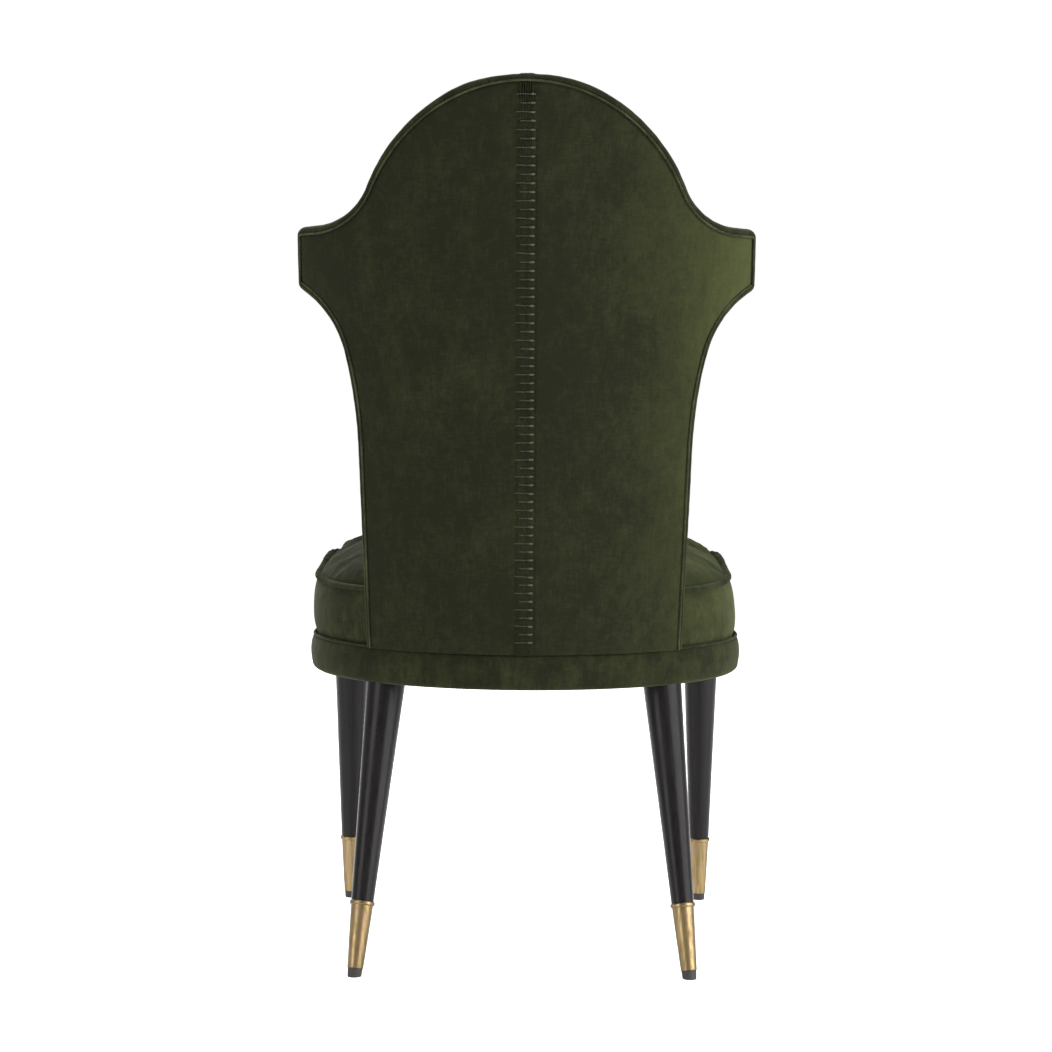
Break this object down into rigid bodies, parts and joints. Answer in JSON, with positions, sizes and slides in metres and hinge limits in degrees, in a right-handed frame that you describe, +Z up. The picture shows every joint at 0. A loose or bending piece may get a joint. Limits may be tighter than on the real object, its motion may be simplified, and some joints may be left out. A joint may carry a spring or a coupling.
{
  "type": "dining chair",
  "caption": "Armless dining chair with a tall curved reclined back that spreads into short wings, a domed velvet seat, and black turned legs shod in brass.",
  "frame": {"origin": "on the floor, under the middle of the chair's overall box", "axes": "+Z up, -Y the way the sitter faces, +X to the sitter's left as they sit, so +X is on the right of someone who looks at the chair from the front"},
  "size_m": [0.561, 0.6279, 1.07],
  "materials": {
    "velvet": "deep moss green velvet with a mottled nap",
    "thread": "twisted green sewing thread",
    "black_lacquer": "satin black lacquer over turned beech",
    "aged_brass": "brushed brass with a darkened patina",
    "glide_rubber": "matt black-brown rubber",
    "zinc_steel": "zinc plated",
    "beech": "planed beech, unfinished",
    "jute_webbing": "woven jute strip",
    "lining_cloth": "thin black lining cloth",
    "foam": "cut polyurethane foam",
    "wadding": "soft polyester wadding"
  },
  "bodies": {
    "root": {"back_bolt_washers": "zinc_steel", "back_bolts": "zinc_steel", "back_bottom_rail": "beech", "back_edge_band": "velvet", "back_edge_padding": "wadding", "back_edge_piping": "velvet", "back_foam": "foam", "back_frame_dowels": "beech", "back_lumbar_rail": "beech", "back_post_left": "beech", "back_post_right": "beech", "back_top_rail": "beech", "back_webbing": "jute_webbing", "base_band_cover": "velvet", "base_band_padding": "wadding", "base_band_welt": "velvet", "centre_seam_stitching": "thread", "corner_block_left": "beech", "corner_block_right": "beech", "corner_block_screws": "zinc_steel", "dust_cover": "lining_cloth", "dust_cover_tacks": "zinc_steel", "ferrule_front_left": "aged_brass", "ferrule_front_right": "aged_brass", "ferrule_rear_left": "aged_brass", "ferrule_rear_right": "aged_brass", "glide_front_left": "glide_rubber", "glide_front_right": "glide_rubber", "glide_rear_left": "glide_rubber", "glide_rear_right": "glide_rubber", "glide_screws": "zinc_steel", "inside_back_cover": "velvet", "leg_front_left": "black_lacquer", "leg_front_right": "black_lacquer", "leg_hanger_bolts": "zinc_steel", "leg_rear_left": "black_lacquer", "leg_rear_right": "black_lacquer", "leg_threaded_inserts": "zinc_steel", "outside_back_left": "velvet", "outside_back_padding": "wadding", "outside_back_right": "velvet", "seat_boxing": "velvet", "seat_deck_cloth": "lining_cloth", "seat_flange_welt": "velvet", "seat_foam": "foam", "seat_rail_dowels": "beech", "seat_rail_front": "beech", "seat_rail_left": "beech", "seat_rail_rear": "beech", "seat_rail_right": "beech", "seat_top_cover": "velvet", "seat_webbing_crosswise": "jute_webbing", "seat_webbing_lengthwise": "jute_webbing", "wing_frame_left": "beech", "wing_frame_right": "beech"}
  },
  "joints": []
}
